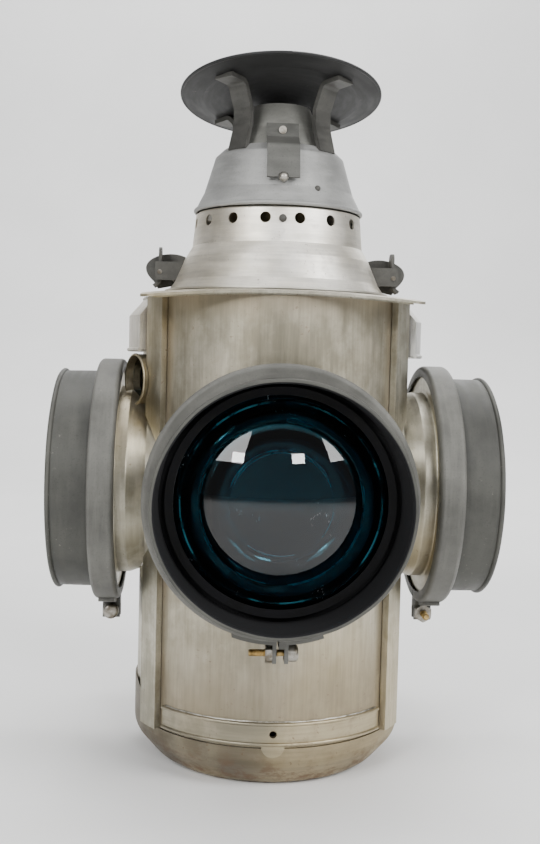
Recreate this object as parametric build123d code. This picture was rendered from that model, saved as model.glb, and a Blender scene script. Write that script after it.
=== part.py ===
"""Four-way railway switch lamp, built as the separate pieces it comes apart into.

Millimetres, +Z up. The origin is on the lamp's vertical axis at the underside of
the base pan, and the front lens looks along -Y. Each lens assembly is modelled
once, looking along its own +Z, and then turned to face the front, right, rear and left.
"""
import os
from math import cos, radians, sin, sqrt, tan

from build123d import *

# Sheet metal and clearances
SHEET = 1.2              # body, dome and hood sheet
THIN_SHEET = 0.8         # fount and burner sheet
FIT = 0.2                # clearance between pieces that stay put
TURN = 0.5               # clearance between pieces that turn or slide

# Body and base
BODY_R = 92.0            # outside of the body shell
BODY_FOOT = 26.0         # lower edge of the body shell
PAN_FLAT_R = 76.0        # flat underside of the base pan
PAN_KNEE_Z = 20.0        # where the pan's rounded corner meets its wall
PAN_BEND = 14.0          # bend radius in the pan
PAN_TOP = 53.0           # top of the pan's side walls
PAN_FRONT = 30.0         # top of the pan's wall under the front panel
PAN_TAB_SLOPE = 6.3      # run of the sloping edge beside it
PAN_TAB_KNEE = 42.0      # foot of that sloping edge

# Front panel, its bottom band and the guides at its edges
PANEL_HALF_ANGLE = 59.0
BAND_HALF_ANGLE = 49.0
BAND_LOW = 32.0
BAND_HIGH = 47.0
BAND_BEAD_R = 1.1
BAND_HOLE_R = 2.35
TONGUE_R = 7.5
GUIDE_START = 51.0       # degrees from the front
GUIDE_END = 62.0
GUIDE_DEPTH = 5.0        # height of the fold over the body
PAN_TAB_X = (BODY_R + FIT + SHEET) * sin(radians(GUIDE_END)) + 1.5   # half width of the low front wall

# Roof plate: a rectangle pressed to a very shallow dome
ROOF_HALF_X = 88.8
ROOF_HALF_Y = 97.0
ROOF_CORNER = 9.0
ROOF_CROWN = 323.9       # height of the dome's centre, cut away by the opening
ROOF_DOME_R = 800.0
ROOF_SHEET = 1.6
ROOF_OPENING_R = 74.4
FLANGE_HALF_X = 82.0
FLANGE_HALF_Y = 94.4

# Lens assemblies, measured outward from the lamp's axis
LENS_Z = 189.5
TUBE_ROOT_R = 61.0
TUBE_SEAT_R = 64.5
FLANGE_R = 80.0
FLANGE_OUT = BODY_R + 15.0   # middle of the tube's seat flange
LENS_R = 68.25
LENS_EDGE = 5.0          # thickness at the lens edge
LENS_CAP_R = 65.0        # radius where the lens bulges out of its edge
LENS_BULGE = 21.6
GASKET_INNER_R = 64.6
GASKET = 0.8
HOOD_R = 74.6            # middle of the hood wall
HOOD_OUT = FLANGE_OUT + 41.0   # front edge of the hood
HOOD_BEAD_R = 1.6
RING_R = 84.0            # outside of the clamp ring
RING_BACK = FLANGE_OUT - 2.8
RING_FRONT = FLANGE_OUT + 14.0
RING_BEND = 2.2

# Clamp ears and screw, on the underside of each clamp ring
SPLIT = 1.4              # gap between the two ears
EAR = 2.4                # thickness of the thin ear
BLOCK = 5.9              # thickness of the block ear
EAR_REACH = 98.0
BLOCK_REACH = 89.0
EAR_WIDTH = 12.0
SCREW_DOWN = 92.8        # screw axis below the lens axis
SCREW_R = 2.4
SCREW_TAIL = 10.2        # thread standing out beyond the nut
SCREW_HEAD_R = 5.4
SCREW_HEAD = 6.4
NUT_FLATS = 11.4
NUT = 4.2
PLATE_ANGLE = 19.0
PLATE = 2.4

# Side vents
VENT_R = BODY_R + 10.0
VENT_HALF_SPAN = 26.0
VENT_HIGH = ROOF_CROWN - 9.5
VENT_EAVES = VENT_HIGH - 11.4
VENT_LOW = VENT_EAVES - 23.0
VENT_BEAD_R = 1.3

# Sight tube in the left front quarter
SIGHT_ANGLE = 70.0       # where it stands, degrees from the front
SIGHT_AIM = 64.0         # where it points
SIGHT_REACH = BODY_R + 9.0      # its mouth from the lamp's axis
SIGHT_Z = LENS_Z + 70.5
SIGHT_R = 17.0
SIGHT_LIP_R = 1.0
SIGHT_GLASS = 2.0
SIGHT_GLASS_DEPTH = 5.5

# Dome, outer radius and height of each step
DOME_RING_R = 59.3
DOME_TOP_R = DOME_RING_R - 2.1
DOME_SHOULDER_R = 64.4
DOME_CONE_R = 71.0
DOME_BASE_R = ROOF_OPENING_R + 3.6
DOME_CONE_FOOT = ROOF_CROWN + 4.1
DOME_SHOULDER = ROOF_CROWN + 19.7
DOME_RING_FOOT = ROOF_CROWN + 28.1
DOME_HOLE_Z = ROOF_CROWN + 43.7
DOME_TOP = ROOF_CROWN + 51.3
DOME_HOLES = 16
DOME_HOLE_R = 3.6
SPIGOT = 8.0             # depth of the collar that locates the dome

# Skirt and chimney
SKIRT_RIM = DOME_TOP + 2.1
SKIRT_RIM_R = DOME_TOP_R + 0.8
SKIRT_CONE_FOOT = SKIRT_RIM + 12.1
SKIRT_CONE_R = 51.9
SKIRT_SHOULDER = SKIRT_RIM + 36.3
SKIRT_SHOULDER_R = 44.6
SKIRT_TOP = SKIRT_RIM + 41.9
SKIRT_TOP_R = 38.6
SKIRT_BEAD_R = 1.5
FLUE_R = 39.4
FLUE_FOOT = ROOF_CROWN - 23.9
BAFFLE_RISE = 30.0       # baffle above the flue's foot
CHIMNEY_FOOT_R = 34.9
CHIMNEY_TOP_R = 20.6
CHIMNEY_TOP = SKIRT_TOP + 29.8

# Cap disc and its legs
CAP_R = 68.7
CAP_FLAT_R = 54.0
CAP_DISH = 2.0
CAP_SHEET = 1.6
CAP_Z = CHIMNEY_TOP + 6.0
CAP_TILT = 9.8           # front edge up
LEG_WIDTH = 15.5
LEG_THICK = 3.0
LEG_FOOT_R = 42.0
LEG_WAIST_R = 37.2
LEG_TOP_R = 43.5
LEG_TOE_R = 57.0

# Chimney latch strap and its stud
STRAP_WIDTH = 21.6
STRAP = 1.4
STRAP_END = SKIRT_CONE_FOOT + 4.4
STUD_R = 3.1
RIVET_R = 2.6

# Thumb catches either side of the dome
CATCH_X = DOME_BASE_R + 3.3
CATCH_Z = ROOF_CROWN + 10.3
CATCH_LOW = CATCH_Z - 5.6
CATCH_HIGH = CATCH_Z + 7.0
CATCH_HALF = 8.0         # half the gap between the cheeks
CHEEK = 1.6
CATCH_PIN_R = 1.6
HUB_R = 3.2
BLADE = 2.0
BLADE_TOP = CATCH_Z + 17.5
LOBE_X = CATCH_X + 9.7
LOBE_TOP = CATCH_Z + 13.0
TOE_DROP = 9.6           # toe below the pivot, short enough to swing over the roof
TOE_REACH = 4.4

# Fount and burner
FOUNT_R = 55.0
FOUNT_LOW = 24.0
FOUNT_HIGH = FOUNT_LOW + 80.0
CRADLE_R = 49.2
CRADLE_WALL = 10.0
COLLAR_BORE = 14.0
COLLAR_R = 17.0
COLLAR_TOP = FOUNT_HIGH + 9.0
BURNER_R = 22.0
BURNER_TOP = COLLAR_TOP + 37.0
WICK_WIDTH = 12.0
WICK = 2.4
WICK_TOP = BURNER_TOP + 5.0
SPINDLE_R = 1.2
SPINDLE_Z = COLLAR_TOP + 5.0
SPINDLE_END = 44.0
KNOB_R = 9.0
KNOB = 3.0
STAR_R = 2.4
FILLER_X = -34.0
FILLER_Y = 14.0
FILLER_R = 9.0
FILLER_CAP_R = 11.0

SIDES = {"front": 0, "right": 90, "rear": 180, "left": 270}


def spun(*outline):
    """Turn a closed outline of (radius, height) points about the lamp's axis."""
    face = make_face(Polyline(*outline, close=True))
    return revolve(Plane.XZ * face, Axis.Z)


def spun_sheet(path, wall=SHEET, bend=1.5):
    """Turn a sheet-metal section whose middle follows a path of (radius, height) points."""
    section = trace(FilletPolyline(*path, radius=bend), line_width=wall)
    return revolve(Plane.XZ * section, Axis.Z)


def sector(outline, start, end):
    """Turn an outline through part of a circle; angles run from the front towards +X."""
    face = make_face(Polyline(*outline, close=True))
    return Rot(0, 0, start - 90) * revolve(Plane.XZ * face, Axis.Z, end - start)


def curved_plate(inner, outer, low, high, start, end):
    """A plate bent round the lamp's axis."""
    return sector([(inner, low), (outer, low), (outer, high), (inner, high)], start, end)


def upright(radius, low, high):
    """A solid cylinder on the lamp's axis."""
    return Pos(0, 0, low) * Cylinder(radius, high - low, align=(Align.CENTER, Align.CENTER, Align.MIN))


def block(x0, x1, y0, y1, z0, z1):
    """A box between two corners."""
    box = Box(x1 - x0, y1 - y0, z1 - z0, align=(Align.MIN, Align.MIN, Align.MIN))
    return Pos(x0, y0, z0) * box


def facing(turn):
    """Place a piece modelled along +Z, its own -Y down, on the side turned from the front."""
    return Pos(0, 0, LENS_Z) * Rot(0, 0, turn) * Rot(90, 0, 0)


def radial(angle, radius, height):
    """A point at an angle from the front, seen from above towards +X."""
    return Vector(radius * sin(radians(angle)), -radius * cos(radians(angle)), height)


def radial_rod(rod_radius, angle, start, end, height):
    """A rod that runs outward from the lamp's axis."""
    rod = Cylinder(rod_radius, end - start, align=(Align.CENTER, Align.CENTER, Align.MIN))
    return Pos(*radial(angle, start, height)) * Rot(0, 0, angle) * Rot(90, 0, 0) * rod


# Base and body

def base_pan():
    wall_r = BODY_R + FIT + SHEET / 2
    path = [(0, SHEET / 2), (PAN_FLAT_R, SHEET / 2), (wall_r, PAN_KNEE_Z), (wall_r, PAN_TOP)]
    pan = spun_sheet(path, bend=PAN_BEND)
    edge = PAN_TAB_X + PAN_TAB_SLOPE
    outline = [(-PAN_TAB_X, PAN_FRONT), (PAN_TAB_X, PAN_FRONT), (PAN_TAB_X, PAN_TAB_KNEE),
               (edge, PAN_TOP), (edge, PAN_TOP + 1), (-edge, PAN_TOP + 1), (-edge, PAN_TOP),
               (-PAN_TAB_X, PAN_TAB_KNEE)]
    front_cut = extrude(Plane.XZ * make_face(Polyline(*outline, close=True)), BODY_R + 10)
    return pan - front_cut


def sight_axis():
    """Location of the sight tube's mouth, with +Z along the way it points."""
    return Pos(*radial(-SIGHT_ANGLE, SIGHT_REACH, SIGHT_Z)) * Rot(0, 0, -SIGHT_AIM) * Rot(90, 0, 0)


def lens_clearance(turn):
    """The room that the lens tube on one side needs outside the body."""
    return facing(turn) * upright(TUBE_SEAT_R + SHEET + TURN, BODY_R / 2, RING_FRONT)


def sight_clearance():
    return sight_axis() * Pos(0, 0, -SIGHT_R) * Cylinder(SIGHT_R + SIGHT_LIP_R + TURN, 3 * SIGHT_R)


def body_top():
    """Height of the flange's underside above the body wall."""
    return ROOF_CROWN - ROOF_SHEET - SHEET - BODY_R ** 2 / (2 * ROOF_DOME_R) - FIT


def body_shell():
    shell = upright(BODY_R, BODY_FOOT, body_top()) - upright(BODY_R - SHEET, 0, 400)
    for turn in SIDES.values():
        shell -= facing(turn) * upright(TUBE_ROOT_R - SHEET, 50, 110)
    for angle in (90, 270):
        shell -= curved_plate(BODY_R - 4, BODY_R + 4, VENT_LOW + 8, VENT_HIGH - 5, angle - 18, angle + 18)
    shell -= block(-BODY_R - 1, -ROOF_HALF_X, -40, 40, VENT_HIGH - 2, 330)
    shell -= block(ROOF_HALF_X, BODY_R + 1, -40, 40, VENT_HIGH - 2, 330)
    shell -= sight_axis() * Cylinder(SIGHT_R - SHEET - FIT, 80)
    shell -= radial_rod(BAND_HOLE_R, 0, BODY_R - 10, BODY_R + 10, (BAND_LOW + BAND_HIGH) / 2)
    return shell


def front_panel():
    inner = BODY_R + FIT
    top = body_top() - FIT
    panel = curved_plate(inner, inner + SHEET, PAN_FRONT + 1, top, -PANEL_HALF_ANGLE, PANEL_HALF_ANGLE)
    panel -= facing(0) * upright(TUBE_ROOT_R - SHEET, 50, 110)
    panel -= radial_rod(BAND_HOLE_R, 0, BODY_R - 10, BODY_R + 10, (BAND_LOW + BAND_HIGH) / 2)
    panel -= sight_axis() * Cylinder(SIGHT_R + TURN, 80)
    return panel - lens_clearance(SIDES["left"]) - lens_clearance(SIDES["right"])


def panel_band():
    inner = BODY_R + FIT + SHEET
    band = curved_plate(inner, inner + SHEET, BAND_LOW, BAND_HIGH, -BAND_HALF_ANGLE, BAND_HALF_ANGLE)
    for height in (BAND_LOW + BAND_BEAD_R, BAND_HIGH - BAND_BEAD_R):
        bead = Pos(inner + SHEET, height) * Circle(BAND_BEAD_R)
        bead -= Pos(inner - 5 + FIT, height) * Rectangle(10, 10)
        arc = revolve(Plane.XZ * bead, Axis.Z, 2 * BAND_HALF_ANGLE)
        band += Rot(0, 0, -BAND_HALF_ANGLE - 90) * arc
    tongue = radial_rod(TONGUE_R, 0, inner - 5, inner + 5, BAND_LOW)
    ring = upright(inner + SHEET, 10, BAND_LOW + 1) - upright(inner, 0, 60)
    band += tongue & ring
    return band - radial_rod(BAND_HOLE_R, 0, BODY_R - 10, BODY_R + 10, (BAND_LOW + BAND_HIGH) / 2)


def guide(side):
    """Folded strip over one edge of the front panel; side is -1 for left and 1 for right."""
    inner = BODY_R + FIT
    outer = inner + GUIDE_DEPTH
    low = PAN_FRONT + 1
    high = body_top() - 1
    fold = curved_plate(outer, outer + SHEET, low, high, GUIDE_START, GUIDE_END)
    fold += curved_plate(inner, outer + FIT, low, high, GUIDE_END - 1, GUIDE_END)
    fold += curved_plate(inner + SHEET + TURN, outer + FIT, low, high, GUIDE_START, GUIDE_START + 1)
    if side < 0:
        fold = mirror(fold, Plane.YZ)
        fold -= sight_clearance()
    for turn in SIDES.values():
        fold -= lens_clearance(turn)
    return fold


def pressed_sheet(half_x, half_y, depth, thickness):
    """A rectangle of sheet pressed to the roof's shallow dome, its top a depth under the dome's."""
    centre = Pos(0, 0, ROOF_CROWN - ROOF_DOME_R)
    outer = centre * Sphere(ROOF_DOME_R - depth)
    inner = centre * Sphere(ROOF_DOME_R - depth - thickness)
    outline = extrude(RectangleRounded(2 * half_x, 2 * half_y, ROOF_CORNER), 60)
    plate = (Pos(0, 0, ROOF_CROWN - 40) * outline) & outer
    return plate - inner - upright(ROOF_OPENING_R, 200, 400)


def roof_plate():
    return pressed_sheet(ROOF_HALF_X, ROOF_HALF_Y, 0, ROOF_SHEET)


def body_top_flange():
    return pressed_sheet(FLANGE_HALF_X, FLANGE_HALF_Y, ROOF_SHEET, SHEET)


def side_vent(angle):
    """A half-round hood with a sloping top, open below, over the air opening."""
    inner = BODY_R + FIT
    slope = [(inner, VENT_HIGH), (VENT_R, VENT_EAVES), (VENT_R, VENT_LOW),
             (VENT_R - SHEET, VENT_LOW), (VENT_R - SHEET, VENT_EAVES - FIT), (inner, VENT_HIGH - 2 * SHEET)]
    side = [(inner, VENT_HIGH - SHEET), (VENT_R - FIT, VENT_EAVES - FIT), (VENT_R - FIT, VENT_LOW),
            (inner, VENT_LOW)]
    start = angle - VENT_HALF_SPAN
    end = angle + VENT_HALF_SPAN
    vent = sector(slope, start, end)
    vent += sector(side, start, start + 0.8)
    vent += sector(side, end - 0.8, end)
    bead = Plane.XZ * (Pos(VENT_R, VENT_LOW) * Circle(VENT_BEAD_R))
    vent += Rot(0, 0, start - 90) * revolve(bead, Axis.Z, end - start)
    return vent


def sight_tube():
    tube = Pos(0, 0, -SIGHT_R) * Cylinder(SIGHT_R, 2 * SIGHT_R)
    tube += Torus(SIGHT_R - SIGHT_LIP_R / 2, SIGHT_LIP_R)
    tube -= Cylinder(SIGHT_R - SHEET, 6 * SIGHT_R)
    return (sight_axis() * tube) - upright(BODY_R + FIT, 0, 400) - lens_clearance(SIDES["left"])


def sight_glass():
    glass = Pos(0, 0, -SIGHT_GLASS_DEPTH) * Cylinder(SIGHT_R - SHEET - 0.15, SIGHT_GLASS)
    return (sight_axis() * glass) - upright(BODY_R + FIT, 0, 400) - lens_clearance(SIDES["left"])


# Lens assemblies

def lens_tube(turn):
    path = [(TUBE_ROOT_R - SHEET / 2, BODY_R - 37), (TUBE_ROOT_R - SHEET / 2, FLANGE_OUT - 21),
            (TUBE_SEAT_R, FLANGE_OUT - 9),
            (TUBE_SEAT_R, FLANGE_OUT), (FLANGE_R, FLANGE_OUT)]
    tube = facing(turn) * spun_sheet(path, bend=2.0)
    skin = BODY_R + FIT
    if turn == SIDES["front"]:
        skin += SHEET + FIT
    return tube - upright(skin, 0, 400)


def gasket():
    back = FLANGE_OUT + SHEET / 2
    return spun((GASKET_INNER_R, back), (LENS_R, back), (LENS_R, back + GASKET), (GASKET_INNER_R, back + GASKET))


def lens():
    """A plano-convex lens with three stepped zones on its inner face."""
    back = FLANGE_OUT + SHEET / 2 + GASKET
    edge = back + LENS_EDGE
    apex = edge + LENS_BULGE
    sagitta = (LENS_CAP_R ** 2 + LENS_BULGE ** 2) / (2 * LENS_BULGE)
    turn = LENS_CAP_R * 0.5
    middle = (turn, apex - sagitta + sqrt(sagitta ** 2 - turn ** 2))
    steps = Polyline((0, back + 9.5), (30, back + 10.4), (30, back + 3.2), (48, back + 8.4), (48, back + 0.8),
                     (61, back + 6), (61, back), (LENS_R, back), (LENS_R, edge), (LENS_CAP_R, edge))
    cap = ThreePointArc((LENS_CAP_R, edge), middle, (0, apex))
    core = Line((0, apex), (0, back + 9.5))
    return revolve(Plane.XZ * make_face([steps, cap, core]), Axis.Z)


def lens_retainer():
    back = FLANGE_OUT + SHEET / 2
    lip = back + GASKET + LENS_EDGE + 1.4
    inner = LENS_R + 0.75
    return spun((inner, back), (inner + SHEET, back), (inner + SHEET, lip + SHEET),
                (LENS_CAP_R + FIT, lip + SHEET), (LENS_CAP_R + FIT, lip), (inner, lip))


def hood():
    seat = FLANGE_OUT + SHEET + TURN
    path = [(FLANGE_R + SHEET / 2, seat), (HOOD_R, seat), (HOOD_R, HOOD_OUT - HOOD_BEAD_R)]
    drum = spun_sheet(path)
    bead = Pos(HOOD_R + SHEET / 2, HOOD_OUT - HOOD_BEAD_R) * Circle(HOOD_BEAD_R)
    return drum + revolve(Plane.XZ * bead, Axis.Z)


def clamp_ring():
    lip = HOOD_R + SHEET / 2 + FIT
    back = RING_BACK + SHEET / 2
    front = RING_FRONT - SHEET / 2
    wall = RING_R - SHEET / 2
    ring = spun_sheet([(76.5, back), (wall, back), (wall, front), (lip, front)], bend=RING_BEND)
    low = RING_BACK + 2.8
    high = RING_FRONT - 3
    outline = [(RING_R - FIT, low), (RING_R + PLATE, low), (RING_R + PLATE, high), (RING_R - FIT, high)]
    ring += sector(outline, -PLATE_ANGLE, PLATE_ANGLE)
    middle = (RING_BACK + RING_FRONT) / 2 - 1.6
    low = middle - EAR_WIDTH / 2
    high = middle + EAR_WIDTH / 2
    root = RING_R - SHEET / 2
    thin_end = -SPLIT / 2 - EAR
    ring -= block(-SPLIT / 2, SPLIT / 2, -EAR_REACH - 2, -HOOD_R, RING_BACK - 1, RING_FRONT + 1)
    ring += block(thin_end, -SPLIT / 2, -EAR_REACH, -root, low, high)
    ring += block(SPLIT / 2, SPLIT / 2 + BLOCK, -BLOCK_REACH, -root, low, high)
    ring += block(SPLIT / 2 + BLOCK - EAR, SPLIT / 2 + BLOCK, -EAR_REACH, -root, low, high)
    hole = Pos(0, -SCREW_DOWN, middle) * Rot(0, 90, 0) * Cylinder(SCREW_R + FIT, 40)
    return ring - hole


def clamp_screw():
    """Screw and nut, two separate solids."""
    middle = (RING_BACK + RING_FRONT) / 2 - 1.6
    head_start = SPLIT / 2 + BLOCK
    nut_end = -SPLIT / 2 - EAR
    tail = nut_end - NUT - SCREW_TAIL
    along = Pos(0, -SCREW_DOWN, middle) * Rot(0, 90, 0)
    base = (Align.CENTER, Align.CENTER, Align.MIN)
    head = Cylinder(SCREW_HEAD_R, SCREW_HEAD, align=base)
    head = fillet(head.edges().group_by(Axis.Z)[-1], 2.4)
    shank = Pos(0, 0, tail) * Cylinder(SCREW_R, head_start - tail + 1, align=base)
    shank = chamfer(shank.edges().group_by(Axis.Z)[0], 0.6)
    slot = Pos(0, 0, head_start + SCREW_HEAD) * Box(1.4, 2 * SCREW_HEAD_R, 3)
    screw = along * (Pos(0, 0, head_start) * head + shank - slot)
    hexagon = extrude(RegularPolygon(NUT_FLATS / 2, 6, major_radius=False), NUT)
    nut = along * Pos(0, 0, nut_end - NUT) * (hexagon - Cylinder(SCREW_R + 0.05, 3 * NUT))
    return Compound(children=[screw.solids()[0], nut.solids()[0]])


# Dome, skirt and chimney

def dome_path():
    half = SHEET / 2
    return [(FLUE_R + FIT, DOME_TOP - half), (DOME_TOP_R - half, DOME_TOP - half),
            (DOME_RING_R - half, DOME_RING_FOOT), (DOME_SHOULDER_R - half, DOME_SHOULDER),
            (DOME_CONE_R - half, DOME_CONE_FOOT), (DOME_BASE_R - 3, dome_base()), (DOME_BASE_R, dome_base())]


def dome_base():
    """Height of the middle of the dome's base flange, just over the roof."""
    return ROOF_CROWN - ROOF_OPENING_R ** 2 / (2 * ROOF_DOME_R) + FIT + SHEET / 2


def dome_shell():
    return spun_sheet(dome_path(), bend=1.2)


def dome_solid():
    """The dome filled in, to cut what stands against it."""
    path = dome_path()
    return dome_shell() + spun((0, path[-1][1]), *reversed(path), (0, path[0][1]))


def dome():
    shell = dome_shell()
    spigot_r = ROOF_OPENING_R - TURN
    top = dome_base() + SHEET / 2
    shell += upright(spigot_r, dome_base() - SPIGOT, top) - upright(spigot_r - SHEET, 200, 400)
    for index in range(DOME_HOLES):
        angle = (index + 0.5) * 360 / DOME_HOLES
        shell -= radial_rod(DOME_HOLE_R, angle, FLUE_R + 5, DOME_RING_R + 5, DOME_HOLE_Z)
    return shell


def skirt_path():
    half = SHEET / 2
    return [(CHIMNEY_FOOT_R - 2, SKIRT_TOP - half), (SKIRT_TOP_R, SKIRT_TOP - half),
            (SKIRT_SHOULDER_R - half, SKIRT_SHOULDER), (SKIRT_CONE_R - half, SKIRT_CONE_FOOT),
            (SKIRT_RIM_R - half, SKIRT_RIM)]


def skirt():
    bead = Pos(SKIRT_RIM_R - SHEET / 2, SKIRT_RIM) * Circle(SKIRT_BEAD_R)
    return spun_sheet(skirt_path()) + revolve(Plane.XZ * bead, Axis.Z)


def skirt_solid():
    """The skirt filled in, to cut what stands against it."""
    path = skirt_path()
    return skirt() + spun((0, path[-1][1]), *reversed(path), (0, path[0][1]))


def flue():
    """Inner draught tube, hung in the dome's top and reaching up to the skirt's shoulder."""
    bore = FLUE_R - SHEET
    return upright(FLUE_R, FLUE_FOOT, SKIRT_TOP - 4.5) - upright(bore, 200, 500)


def draught_baffle():
    """Flat ring that holds the flue's foot clear of the dome and turns side draughts."""
    low = FLUE_FOOT + BAFFLE_RISE
    return upright(DOME_CONE_R - 6, low, low + SHEET) - upright(FLUE_R + FIT, 200, 500)


def chimney_cone():
    return spun((CHIMNEY_FOOT_R, SKIRT_TOP), (CHIMNEY_TOP_R, CHIMNEY_TOP),
                (CHIMNEY_TOP_R - SHEET, CHIMNEY_TOP), (CHIMNEY_FOOT_R - SHEET, SKIRT_TOP))


def cap_place():
    return Pos(0, 0, CAP_Z) * Rot(-CAP_TILT, 0, 0)


def cap_disc():
    disc = spun((0, 0), (CAP_FLAT_R, 0), (CAP_R, CAP_DISH), (CAP_R, CAP_DISH + CAP_SHEET),
                (CAP_FLAT_R, CAP_SHEET), (0, CAP_SHEET))
    bead = Pos(CAP_R, CAP_DISH + CAP_SHEET / 2) * Circle(CAP_SHEET * 0.7)
    return cap_place() * (disc + revolve(Plane.XZ * bead, Axis.Z))


def cap_legs():
    """Four bent straps, each cut to the skirt below and to the disc above."""
    above = cap_place() * block(-100, 100, -100, 100, 0, 60)
    below = skirt_solid()
    legs = []
    for angle in (45, 135, 225, 315):
        slope = cos(radians(angle)) * tan(radians(CAP_TILT))
        bend_z = CAP_Z + LEG_TOP_R * slope - 1
        toe_z = CAP_Z + LEG_TOE_R * slope - 1
        path = FilletPolyline((LEG_FOOT_R, SKIRT_TOP - 4), (LEG_WAIST_R, SKIRT_TOP + 13),
                              (LEG_WAIST_R, SKIRT_TOP + 24), (LEG_TOP_R, bend_z), (LEG_TOE_R, toe_z), radius=5)
        strip = extrude(Plane.XZ * trace(path, line_width=LEG_THICK), LEG_WIDTH / 2, both=True)
        leg = Rot(0, 0, angle - 90) * strip - above - below
        legs.append(max(leg.solids(), key=lambda solid: solid.volume))
    return Compound(children=legs)


def strap_path():
    slope = (SKIRT_CONE_R - SKIRT_SHOULDER_R) / (SKIRT_SHOULDER - SKIRT_CONE_FOOT)
    knee_r = SKIRT_SHOULDER_R + 2.7
    knee_z = SKIRT_SHOULDER + 2.7
    cone = (CHIMNEY_FOOT_R - CHIMNEY_TOP_R) / (CHIMNEY_TOP - SKIRT_TOP)
    top_z = SKIRT_TOP + 14.2
    bend_z = SKIRT_TOP + 4.2
    stand_off = STRAP / 2 + FIT + 0.3
    return [(CHIMNEY_FOOT_R - cone * (top_z - SKIRT_TOP) + stand_off, top_z),
            (CHIMNEY_FOOT_R - cone * (bend_z - SKIRT_TOP) + stand_off, bend_z),
            (knee_r, knee_z), (knee_r + slope * (knee_z - STRAP_END), STRAP_END)]


def latch_strap():
    section = trace(FilletPolyline(*strap_path(), radius=2.5), line_width=STRAP)
    strap = extrude(Plane.XZ * section, STRAP_WIDTH / 2, both=True)
    strap = Rot(0, 0, -90) * strap
    return strap - radial_rod(STUD_R + TURN, 0, SKIRT_SHOULDER_R, SKIRT_RIM_R + 5, STRAP_END)


def strap_rivet():
    top = strap_path()[0]
    bend = strap_path()[1]
    radius = (top[0] + bend[0]) / 2
    height = (top[1] + bend[1]) / 2
    head = radial_rod(RIVET_R, 0, radius + STRAP / 2, radius + STRAP / 2 + 1.8, height)
    return head - latch_strap()


def latch_stud():
    """Ball stud that stands in the notch at the strap's end."""
    knob = Pos(*radial(0, SKIRT_CONE_R + 3.2, STRAP_END)) * Sphere(STUD_R)
    return knob + radial_rod(1.8, 0, SKIRT_CONE_R - 3, SKIRT_CONE_R + 3, STRAP_END) - skirt_solid()


def dome_rivets():
    """Round rivet heads on the perforated ring and on the skirt."""
    rivets = []
    for angle in (0, 180):
        head = Pos(*radial(angle, DOME_RING_R - 1, DOME_HOLE_Z - 0.6)) * Sphere(RIVET_R)
        rivets.append((head - dome_solid()).solids()[0])
    for angle in (26, 206):
        head = Pos(*radial(angle, SKIRT_CONE_R + 0.4, SKIRT_CONE_FOOT - 1)) * Sphere(RIVET_R - 0.6)
        rivets.append((head - skirt_solid()).solids()[0])
    return Compound(children=rivets)


# Thumb catches, modelled on the right and mirrored to the left

def catch_bracket():
    """Bracket with a small front cheek and a rear cheek drawn out into a lobe."""
    root = DOME_SHOULDER_R - 6
    end = CATCH_X + HUB_R
    front = block(root, end, -CATCH_HALF - CHEEK, -CATCH_HALF, CATCH_LOW, CATCH_HIGH)
    web = block(root, DOME_CONE_R + CHEEK, -CATCH_HALF, CATCH_HALF, CATCH_LOW, CATCH_HIGH)
    lobe_r = LOBE_TOP - CATCH_HIGH
    rim = [(root, CATCH_LOW), (CATCH_X + 2, CATCH_LOW - 5), (CATCH_X + 5, CATCH_LOW)]
    bow = Spline(rim[-1], (LOBE_X, LOBE_TOP - lobe_r), (CATCH_X, LOBE_TOP), (root, CATCH_HIGH - 2))
    outline = make_face([Polyline(*rim), bow, Line((root, CATCH_HIGH - 2), rim[0])])
    rear = Pos(0, CATCH_HALF + CHEEK, 0) * extrude(Plane.XZ * outline, CHEEK)
    pin_hole = Pos(CATCH_X, 0, CATCH_Z) * Rot(90, 0, 0) * Cylinder(CATCH_PIN_R, 60)
    return front + web + rear - pin_hole - dome_solid()


def catch_pin():
    return Pos(CATCH_X, 0, CATCH_Z) * Rot(90, 0, 0) * Cylinder(CATCH_PIN_R, 2 * (CATCH_HALF + CHEEK) + 1)


def catch_lever():
    """Thumb blade on a hub, with a toe that curves out over the roof plate."""
    half = CATCH_HALF - TURN
    hub = Pos(CATCH_X, 0, CATCH_Z) * Rot(90, 0, 0) * Cylinder(HUB_R, 2 * half)
    path = FilletPolyline((CATCH_X, BLADE_TOP), (CATCH_X, CATCH_Z - 6), (CATCH_X + TOE_REACH, CATCH_Z - TOE_DROP),
                          radius=4)
    blade = extrude(Plane.XZ * trace(path, line_width=BLADE), half - 1, both=True)
    corners = blade.edges().filter_by(Axis.X).group_by(Axis.Z)[-1]
    blade = fillet(corners, 4.5)
    hole = Pos(CATCH_X, 0, CATCH_Z) * Rot(90, 0, 0) * Cylinder(CATCH_PIN_R + 0.08, 60)
    return hub + blade - hole


# Fount and burner

def fount_cradle():
    floor = SHEET
    return spun((CRADLE_R - SHEET, floor), (CRADLE_R, floor), (CRADLE_R, FOUNT_LOW - SHEET),
                (FOUNT_R + 3, FOUNT_LOW - SHEET), (FOUNT_R + 3, FOUNT_LOW + CRADLE_WALL),
                (FOUNT_R + 3 - SHEET, FOUNT_LOW + CRADLE_WALL), (FOUNT_R + 3 - SHEET, FOUNT_LOW),
                (CRADLE_R - SHEET, FOUNT_LOW))


def fount():
    half = THIN_SHEET / 2
    low = FOUNT_LOW + half
    high = FOUNT_HIGH - half
    can = spun_sheet([(0, low), (FOUNT_R - half, low), (FOUNT_R - half, high), (COLLAR_R, high)],
                     wall=THIN_SHEET, bend=3.0)
    place = Pos(FILLER_X, FILLER_Y, 0)
    can += place * (upright(FILLER_R, FOUNT_HIGH - half, FOUNT_HIGH + 4))
    return can - place * upright(FILLER_R - 1.2, FOUNT_HIGH - 5, FOUNT_HIGH + 10)


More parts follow.
